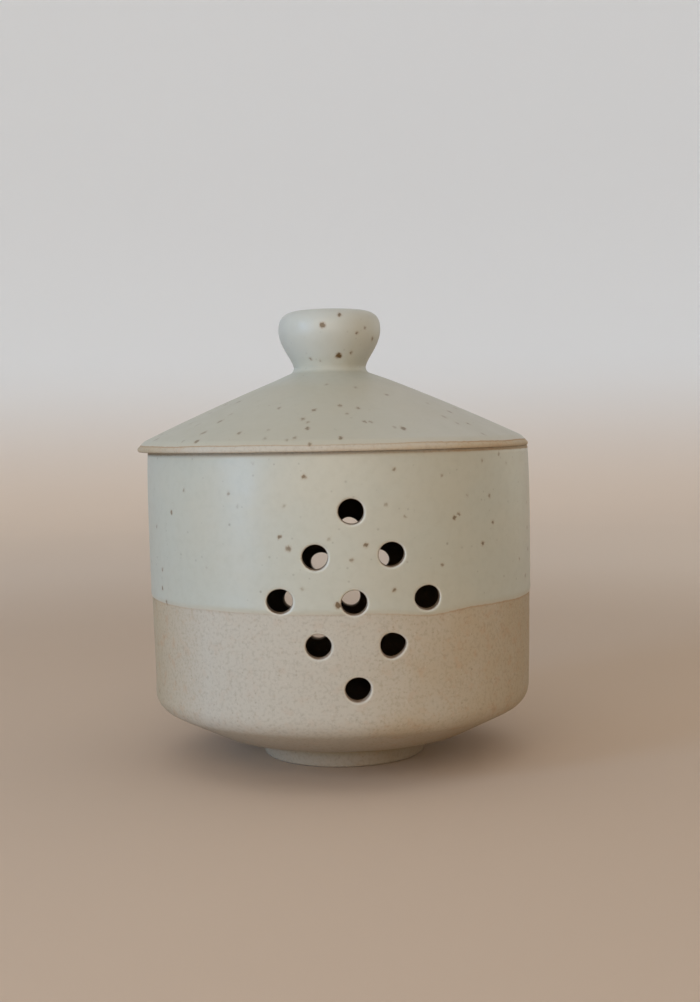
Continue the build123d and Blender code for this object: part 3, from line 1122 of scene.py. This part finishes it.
def clay_surface(tree, place, colours):
    """Colour and relief of bare stoneware.

    It is pale on its lit side, blushes in random patches that are strongest where the side
    shade is painted, and is peppered with fine dark iron and light grog that give it a dry tooth.
    """
    toasted, layers = painted_clay_shades(tree, place, colours)
    mottle = {"Scale": 1 / (3.6 * MM), "Detail": 3.0, "Roughness": 0.6}
    blush = add(tree, "TexNoise", {"Vector": place, **mottle})
    patches = {"From Min": 0.50, "From Max": 0.72, "To Max": 0.34}
    blush = add(tree, "MapRange", {"Value": blush, **patches}, **SOFT)
    # The blush patches are strongest where the side shade is painted.
    warmth = add(tree, "MapRange", {"Value": toasted, "To Min": 0.35})
    blush = add(tree, "Math", {0: blush, 1: warmth}, operation="MULTIPLY")
    grit = add(tree, "TexNoise", {"Vector": place, "Scale": 1 / (1.0 * MM), "Detail": 2.0, "Roughness": 0.6})
    grit = add(tree, "MapRange", {"Value": grit, "From Min": 0.48, "From Max": 0.72, "To Max": 0.24})
    iron = grains(tree, place, 1.8 * MM, 0.44 * MM, 0.45)
    iron = add(tree, "Math", {0: iron, 1: 0.22}, operation="MULTIPLY")
    grog = grains(tree, place, 1.5 * MM, 0.40 * MM, 0.35)
    paler = add(tree, "Math", {0: grog, 1: 0.17}, operation="MULTIPLY")
    layers += [
        (blush, linear("#b58a66")),
        (grit, linear("#75664f")),
        (iron, colours.iron),
        (paler, linear("#d9d2c4")),
    ]
    colour = opaque(colours.clay)
    for share, tint in layers:
        colour = add(tree, "Mix", {FACTOR: share, BASE: colour, OTHER: opaque(tint)}, **COLOUR)
    tooth = add(tree, "TexNoise", {"Vector": place, "Scale": 1 / (0.5 * MM), "Detail": 3.0, "Roughness": 0.7})
    relief = add(tree, "Math", {0: tooth, 1: 0.04 * MM}, operation="MULTIPLY")
    relief = add(tree, "Math", {0: grog, 1: 0.02 * MM, 2: relief}, operation="MULTIPLY_ADD")
    return colour, relief


def glaze_surface(tree, place, colours, thin):
    """Colour and relief of satin glaze.

    It is a milky grey green that clouds slowly over the piece, thins to a warmer
    tone over edges, holds many faint specks of iron, and has a soft uneven skin.
    """
    drift = add(tree, "TexNoise", {"Vector": place, "Scale": 1 / (24 * MM), "Detail": 3.0})
    clouds = {"From Min": 0.35, "From Max": 0.70, "To Max": 0.30}
    cloud = add(tree, "MapRange", {"Value": drift, **clouds}, **SOFT)
    cloud = add(tree, "Math", {0: cloud, 1: thin}, operation="MAXIMUM")
    milk = add(tree, "TexNoise", {"Vector": place, "Scale": 1 / (2.6 * MM), "Detail": 4.0, "Roughness": 0.6})
    milk = add(tree, "MapRange", {"Value": milk, "From Min": 0.45, "From Max": 0.75, "To Max": 0.16})
    layers = [(cloud, colours.glaze_thin), (milk, linear("#9c9a88"))]
    for spacing, radius, kept, strength in (
        (2.3 * MM, 0.50 * MM, 0.30, 0.26),
        (4.1 * MM, 0.62 * MM, 0.40, 0.42),
    ):
        speck = grains(tree, place, spacing, radius, kept)
        speck = add(tree, "Math", {0: speck, 1: strength}, operation="MULTIPLY")
        layers.append((speck, linear("#6b604c")))
    colour = opaque(colours.glaze)
    for share, tint in layers:
        colour = add(tree, "Mix", {FACTOR: share, BASE: colour, OTHER: opaque(tint)}, **COLOUR)
    skin = add(tree, "TexNoise", {"Vector": place, "Scale": 1 / (1.8 * MM), "Detail": 2.0})
    relief = add(tree, "Math", {0: skin, 1: 0.018 * MM}, operation="MULTIPLY")
    return colour, relief


def iron_spots(tree, place):
    """Iron spots from the faces' own fields, ragged and soft at the rim, and a faint bleed round each.

    A spot on a slope ran down it a little, so distance out from the axis counts for half.
    """
    centre = add(tree, "Attribute", attribute_name="spot_centre").outputs["Vector"]
    size = add(tree, "Attribute", attribute_name="spot_size").outputs["Fac"]
    strength = add(tree, "Attribute", attribute_name="spot_strength").outputs["Fac"]
    ragged = add(tree, "TexNoise", {"Vector": place, "Scale": 1 / (1.1 * MM), "Detail": 1.0})
    shift = add(tree, "VectorMath", {0: ragged.outputs["Color"], 1: (0.5, 0.5, 0.5)}, operation="SUBTRACT")
    raggedness = (1.2 * MM, 1.2 * MM, 1.2 * MM)
    moved = add(tree, "VectorMath", {0: shift, 1: raggedness, 2: place}, operation="MULTIPLY_ADD")
    offset = add(tree, "VectorMath", {0: moved, 1: centre}, operation="SUBTRACT")
    outward = add(tree, "VectorMath", {0: centre, 1: (1.0, 1.0, 0.0)}, operation="MULTIPLY")
    outward = add(tree, "VectorMath", {0: outward}, operation="NORMALIZE")
    away = add(tree, "VectorMath", {0: offset, 1: outward}, operation="DOT_PRODUCT").outputs["Value"]
    away = add(tree, "Math", {0: away, 1: -0.5}, operation="MULTIPLY")
    squeezed = add(tree, "CombineXYZ", {"X": away, "Y": away, "Z": away})
    squeezed = add(tree, "VectorMath", {0: squeezed, 1: outward, 2: offset}, operation="MULTIPLY_ADD")
    distance = add(tree, "VectorMath", {0: squeezed}, operation="LENGTH").outputs["Value"]
    inside = add(tree, "Math", {0: size, 1: distance}, operation="SUBTRACT")
    fades = (
        {"From Min": -0.25 * MM, "From Max": 0.30 * MM},
        {"From Min": -0.70 * MM, "From Max": 0.0, "To Max": 0.30},
    )
    core, bleed = [add(tree, "MapRange", {"Value": inside, **fade}, **SOFT) for fade in fades]
    return [add(tree, "Math", {0: part, 1: strength}, operation="MULTIPLY") for part in (core, bleed)]


def painted_side_light(tree, axes, colour, side_light_tints):
    """The glaze's colour with painted light and shade: one tint half mixed in on the left and another on the
    right.

    Both fade out at the neck, where lid and knob meet.
    """
    # Painted light and shade: each side's tint stands in for how the light falls there.
    left_tint, right_tint = [opaque(linear(code)) for code in side_light_tints]
    rightward = add(tree, "MapRange", {"Value": axes["X"], "From Min": -10 * MM, "From Max": 35 * MM}, **SOFT)
    tint = add(tree, "Mix", {FACTOR: rightward, BASE: left_tint, OTHER: right_tint}, **COLOUR)
    neck = add(tree, "Math", {0: axes["Z"], 1: LID_HIGH.z}, operation="SUBTRACT")
    neck = add(tree, "Math", {0: neck}, operation="ABSOLUTE")
    clear = {"From Min": 1 * MM, "From Max": 7 * MM, "To Max": 0.5}
    tinted = add(tree, "MapRange", {"Value": neck, **clear}, **SOFT)
    return add(tree, "Mix", {FACTOR: tinted, BASE: colour, OTHER: tint}, **COLOUR)


def wiped_band(tree, depth, side, wiped_film):
    """Share of the pale film that wiping leaves in a band beside the glaze, faintest on the left."""
    film = add(tree, "MapRange", {"Value": side, **ACROSS, "To Min": 0.4 * wiped_film, "To Max": wiped_film})
    bare = add(tree, "MapRange", {"Value": depth, "From Min": 0.1 * MM, "From Max": -0.2 * MM})
    band = add(tree, "MapRange", {"Value": depth, "From Min": -4.0 * MM, "From Max": -3.0 * MM})
    band = add(tree, "Math", {0: band, 1: bare}, operation="MULTIPLY")
    return add(tree, "Math", {0: band, 1: film}, operation="MULTIPLY")


def toasted_line(tree, depth, side, left_line, right_line):
    """Share of the thin tan line along the glaze's edge, faintest at the front."""
    scorch = add(tree, "MapRange", {"Value": side, **ACROSS, "To Min": left_line, "To Max": right_line})
    sideways = add(tree, "Math", {0: side}, operation="ABSOLUTE")
    sideways = add(tree, "MapRange", {"Value": sideways, "From Max": 50 * MM, "To Min": 0.45}, **SOFT)
    line = add(tree, "Math", {0: depth, 1: 0.1 * MM}, operation="ADD")
    line = add(tree, "Math", {0: line}, operation="ABSOLUTE")
    line = add(tree, "MapRange", {"Value": line, "From Min": 0.42 * MM, "From Max": 0.08 * MM}, **SOFT)
    line = add(tree, "Math", {0: line, 1: scorch}, operation="MULTIPLY")
    return add(tree, "Math", {0: line, 1: sideways}, operation="MULTIPLY")


def satin_glazed_stoneware(name, left_line, right_line, wiped_film=0.0, side_light_tints=None):
    """Stoneware dipped in satin glaze and fired once more.

    The glaze is a soft-sheened glass that hides the clay but lets its iron bleed
    through as brown spots. Where it ends the clay is toasted in a thin tan line, and a
    wiped edge keeps a pale film of glaze. The vents' lips are painted paler as a painted
    highlight, and turn ochre into the bore, partly where the glaze breaks over the edge
    and partly as painted shade down the bore. Side tints, given for the lid and knob,
    paint light and shade on the left and right of their glaze.
    """
    colours = bpy.context.scene.keeper_colours
    material, tree, shader, place = new_material(name)
    axes = add(tree, "SeparateXYZ", {"Vector": place}).outputs
    glaze_depth = add(tree, "Attribute", attribute_name="glaze").outputs["Fac"]
    lip = add(tree, "Attribute", attribute_name="lip").outputs["Fac"]
    ripple = {"Scale": 1 / (1.6 * MM), "Detail": 3.0, "Roughness": 0.6}
    wander = add(tree, "TexNoise", {"Vector": place, **ripple})
    depth = add(tree, "Math", {0: wander, 1: 0.5 * MM, 2: glaze_depth}, operation="MULTIPLY_ADD")
    depth = add(tree, "Math", {0: depth, 1: 0.25 * MM}, operation="SUBTRACT")
    cover = add(tree, "MapRange", {"Value": depth, "From Min": -0.15 * MM, "From Max": 0.25 * MM}, **SOFT)

    clay_colour, clay_relief = clay_surface(tree, place, colours)
    thin = add(tree, "MapRange", {"Value": depth, "From Min": 1.8 * MM, "From Max": 0.2 * MM, "To Max": 0.6})
    glaze_colour, glaze_relief = glaze_surface(tree, place, colours, thin)
    if side_light_tints:
        glaze_colour = painted_side_light(tree, axes, glaze_colour, side_light_tints)
    colour = add(tree, "Mix", {FACTOR: cover, BASE: clay_colour, OTHER: glaze_colour}, **COLOUR)

    # Painted highlight: the vents' lips are painted paler round each hole.
    rounded = add(tree, "MapRange", {"Value": lip, "From Min": 0.02, "From Max": 0.3, "To Max": 0.45})
    # Partly real, partly painted shade: ochre where the glaze breaks at the vents' edges, and the same ochre
    # darkens the bore as painted shade.
    ochre_and_bore_shade = add(tree, "MapRange", {"Value": lip, "From Min": 0.5, "From Max": 0.8, "To Max": 1.2})
    ochre_and_bore_shade = add(tree, "Math", {0: ochre_and_bore_shade, 1: wander}, operation="MULTIPLY")
    core, bleed = iron_spots(tree, place)
    for share, tint in (
        (wiped_band(tree, depth, axes["X"], wiped_film), linear("#e0cdb0")),
        (toasted_line(tree, depth, axes["X"], left_line, right_line), colours.toast),
        (rounded, linear("#d6d1c3")),
        (ochre_and_bore_shade, linear("#94683f")),
        (bleed, linear("#98703f")),
        (core, colours.iron),
    ):
        colour = add(tree, "Mix", {FACTOR: share, BASE: colour, OTHER: opaque(tint)}, **COLOUR)

    gloss = add(tree, "TexNoise", {"Vector": place, "Scale": 1 / (7 * MM), "Detail": 2.0})
    satin = {"From Min": 0.3, "From Max": 0.7, "To Min": 0.36, "To Max": 0.44}
    gloss = add(tree, "MapRange", {"Value": gloss, **satin})
    roughness = add(tree, "Mix", {0: cover, 2: BARE_ROUGHNESS, 3: gloss}, data_type="FLOAT")
    surface = add(tree, "Mix", {0: cover, 2: clay_relief, 3: glaze_relief}, data_type="FLOAT")
    surface = add(tree, "Math", {0: core, 1: -0.03 * MM, 2: surface}, operation="MULTIPLY_ADD")
    bump = add(tree, "Bump", {"Strength": 1.0, "Distance": 1.0, "Height": surface})
    tree.links.new(colour.outputs[MIXED], shader.inputs["Base Color"])
    tree.links.new(roughness.outputs[0], shader.inputs["Roughness"])
    tree.links.new(bump.outputs["Normal"], shader.inputs["Normal"])
    return material


def bare_stoneware(name):
    """Stoneware fired without glaze: dry and slightly rough to the thumb, with fine iron and grog."""
    material, tree, shader, place = new_material(name)
    colour, relief = clay_surface(tree, place, bpy.context.scene.keeper_colours)
    bump = add(tree, "Bump", {"Strength": 1.0, "Distance": 1.0, "Height": relief})
    tree.links.new(colour.outputs[MIXED], shader.inputs["Base Color"])
    tree.links.new(bump.outputs["Normal"], shader.inputs["Normal"])
    shader.inputs["Roughness"].default_value = BARE_ROUGHNESS
    return material


def painted_plaster(name):
    """Matt emulsion on smooth plaster: warm underfoot, with a painted shadow darker and warmer close to the
    keeper, cooler up the wall.

    The wall glows for the camera and in reflections, which puts no light on the keeper.
    """
    material, tree, shader, place = new_material(name)
    height = add(tree, "SeparateXYZ", {"Vector": place}).outputs["Z"]
    away = add(tree, "VectorMath", {0: place}, operation="LENGTH").outputs["Value"]
    # Painted shadow: the floor is darker and warmer within 0.2 m of the keeper and clears to a paler tone by
    # 0.7 m.
    clear = add(tree, "MapRange", {"Value": away, "From Min": 0.2, "From Max": 0.7}, **SOFT)
    climb = add(tree, "MapRange", {"Value": height, "From Max": 0.22}, **SOFT)
    colour = opaque(linear("#cfb8a1"))
    for share, tint in ((clear, linear("#dac9b8")), (climb, linear("#dedfdf"))):
        colour = add(tree, "Mix", {FACTOR: share, BASE: colour, OTHER: opaque(tint)}, **COLOUR)
    rays = add(tree, "LightPath").outputs
    seen = rays["Is Camera Ray"]
    for ray in ("Is Glossy Ray", "Is Transmission Ray"):
        seen = add(tree, "Math", {0: seen, 1: rays[ray]}, operation="MAXIMUM")
    glow = add(tree, "MapRange", {"Value": away, "From Min": 0.35, "From Max": 1.3, "To Max": 0.24})
    glow = add(tree, "Math", {0: climb, 1: 0.08, 2: glow}, operation="MULTIPLY_ADD")
    glow = add(tree, "Math", {0: glow, 1: seen}, operation="MULTIPLY")
    tree.links.new(colour.outputs[MIXED], shader.inputs["Base Color"])
    tree.links.new(colour.outputs[MIXED], shader.inputs["Emission Color"])
    tree.links.new(glow.outputs[0], shader.inputs["Emission Strength"])
    shader.inputs["Roughness"].default_value = 0.9
    return material


# ---- Stage --------------------------------------------------------------

CAMERA_DISTANCE = 466.3 * MM     # from the pot's axis
CAMERA_HEIGHT = 111.2 * MM
CAMERA_TURN = radians(3.44)      # the camera stands this far to the left of the front holes
CAMERA_PAN = radians(0.4325)
CAMERA_TILT = radians(3.10)
CAMERA_ROLL = radians(1.09)
FOCAL_PIXELS = 1358.0
SENSOR = 36.0                    # long side, millimetres

BOWL_FLOOR = 1.10                # radius of the flat floor
BOWL_COVE = 0.45
BOWL_HEIGHT = 1.90
BOWL_SPACING = 0.05              # between its mesh rings
BOWL_STEPS = 96

ROOM_STRENGTH = 0.64
LAMP_AIM = Vector((0, 0, 0.075))     # the middle of the keeper
LAMP_DISTANCE = 0.95
# Name, bearing from the camera's right and elevation in degrees, width, height, watts and colour
LAMPS = (
    ("window", 214, 10, 0.22, 0.60, 4.3, "#9bcdff"),
    ("room", 260, 16, 0.90, 0.60, 3.6, "#ffeed8"),
    ("rim", 30, 10, 0.60, 0.60, 0.8, "#fffae4"),
)


def area_lamp(name, bearing, elevation, width, height, watts, colour):
    """A soft rectangular lamp aimed at the keeper."""
    bearing, elevation = radians(bearing) - CAMERA_TURN, radians(elevation)
    light = bpy.data.lights.new(name, "AREA")
    light.shape = "RECTANGLE"
    light.size = width
    light.size_y = height
    light.energy = watts
    light.color = linear(colour)
    lamp = bpy.data.objects.new(name, light)
    away = Vector((cos(elevation) * cos(bearing), cos(elevation) * sin(bearing), sin(elevation)))
    lamp.location = LAMP_AIM + away * LAMP_DISTANCE
    lamp.rotation_euler = away.to_track_quat("Z", "Y").to_euler()
    lamp.visible_camera = False
    bpy.context.scene.collection.objects.link(lamp)


class KEEPER_OT_stage(bpy.types.Operator):
    """Set the pale floor and backdrop, the window light, the warm fill and the camera"""

    bl_idname = "keeper.stage"
    bl_label = "Stage"

    def execute(self, context):
        section = outline(
            (
                (BOWL_SPACING, 0, 0),
                (BOWL_FLOOR + BOWL_COVE, 0, BOWL_COVE),
                (BOWL_FLOOR + BOWL_COVE, BOWL_HEIGHT, 0),
            ),
            BOWL_SPACING,
        )
        points = turned_points(section, round_angles(BOWL_STEPS)).reshape(-1, 3)
        quads = grid_quads(len(section), BOWL_STEPS).reshape(-1, 4)
        triangles = cap(np.arange(BOWL_STEPS), len(points))
        backdrop = make_piece("backdrop", np.concatenate([points, [(0, 0, 0)]]), quads, triangles)
        backdrop.data.flip_normals()
        backdrop.data.materials.append(painted_plaster("painted_plaster"))

        world = bpy.data.worlds.new("room_light")
        world.use_nodes = True
        background = world.node_tree.nodes["Background"]
        background.inputs["Color"].default_value = opaque(linear("#fffcfb"))
        background.inputs["Strength"].default_value = ROOM_STRENGTH
        context.scene.world = world
        for lamp in LAMPS:
            area_lamp(*lamp)

        camera = bpy.data.cameras.new("camera")
        camera.sensor_width = SENSOR
        camera.lens = FOCAL_PIXELS / PICTURE_HEIGHT * SENSOR
        camera.clip_start = 0.02
        camera.clip_end = 20.0
        body = bpy.data.objects.new("camera", camera)
        turn = Matrix.Rotation(-CAMERA_TURN, 4, "Z")
        stand = Matrix.Translation((0, -CAMERA_DISTANCE, CAMERA_HEIGHT))
        aim = Matrix.Rotation(-CAMERA_PAN, 4, "Z") @ Matrix.Rotation(pi / 2 - CAMERA_TILT, 4, "X")
        body.matrix_world = turn @ stand @ aim @ Matrix.Rotation(-CAMERA_ROLL, 4, "Z")
        context.scene.collection.objects.link(body)
        context.scene.camera = body
        context.scene.view_settings.view_transform = "Standard"
        return {"FINISHED"}


# ---- Panel, registration and run ----------------------------------------


class KEEPER_PT_panel(bpy.types.Panel):
    """Garlic keeper settings and steps"""

    bl_idname = "KEEPER_PT_panel"
    bl_label = "Garlic Keeper"
    bl_space_type = "VIEW_3D"
    bl_region_type = "UI"
    bl_category = "Garlic Keeper"

    def draw(self, context):
        for group in (context.scene.keeper_sizes, context.scene.keeper_colours):
            box = self.layout.box()
            for name in group.__annotations__:
                box.prop(group, name)
        for step in STEPS:
            self.layout.operator(step.bl_idname)


STEPS = (
    KEEPER_OT_pot,
    KEEPER_OT_foot_ring,
    KEEPER_OT_lid,
    KEEPER_OT_collar,
    KEEPER_OT_knob,
    KEEPER_OT_stage,
)
CLASSES = (KeeperSizes, KeeperColours, *STEPS, KEEPER_PT_panel)


def register():
    """Registers the classes and hangs the settings on the scene."""
    for item in CLASSES:
        bpy.utils.register_class(item)
    bpy.types.Scene.keeper_sizes = bpy.props.PointerProperty(type=KeeperSizes)
    bpy.types.Scene.keeper_colours = bpy.props.PointerProperty(type=KeeperColours)


def unregister():
    """Takes the settings and the classes away again."""
    del bpy.types.Scene.keeper_colours
    del bpy.types.Scene.keeper_sizes
    for item in reversed(CLASSES):
        bpy.utils.unregister_class(item)


def main():
    """Builds every piece and the stage."""
    register()
    bpy.ops.keeper.pot()
    bpy.ops.keeper.foot_ring()
    bpy.ops.keeper.lid()
    bpy.ops.keeper.collar()
    bpy.ops.keeper.knob()
    bpy.ops.keeper.stage()


if __name__ == "__main__":
    main()
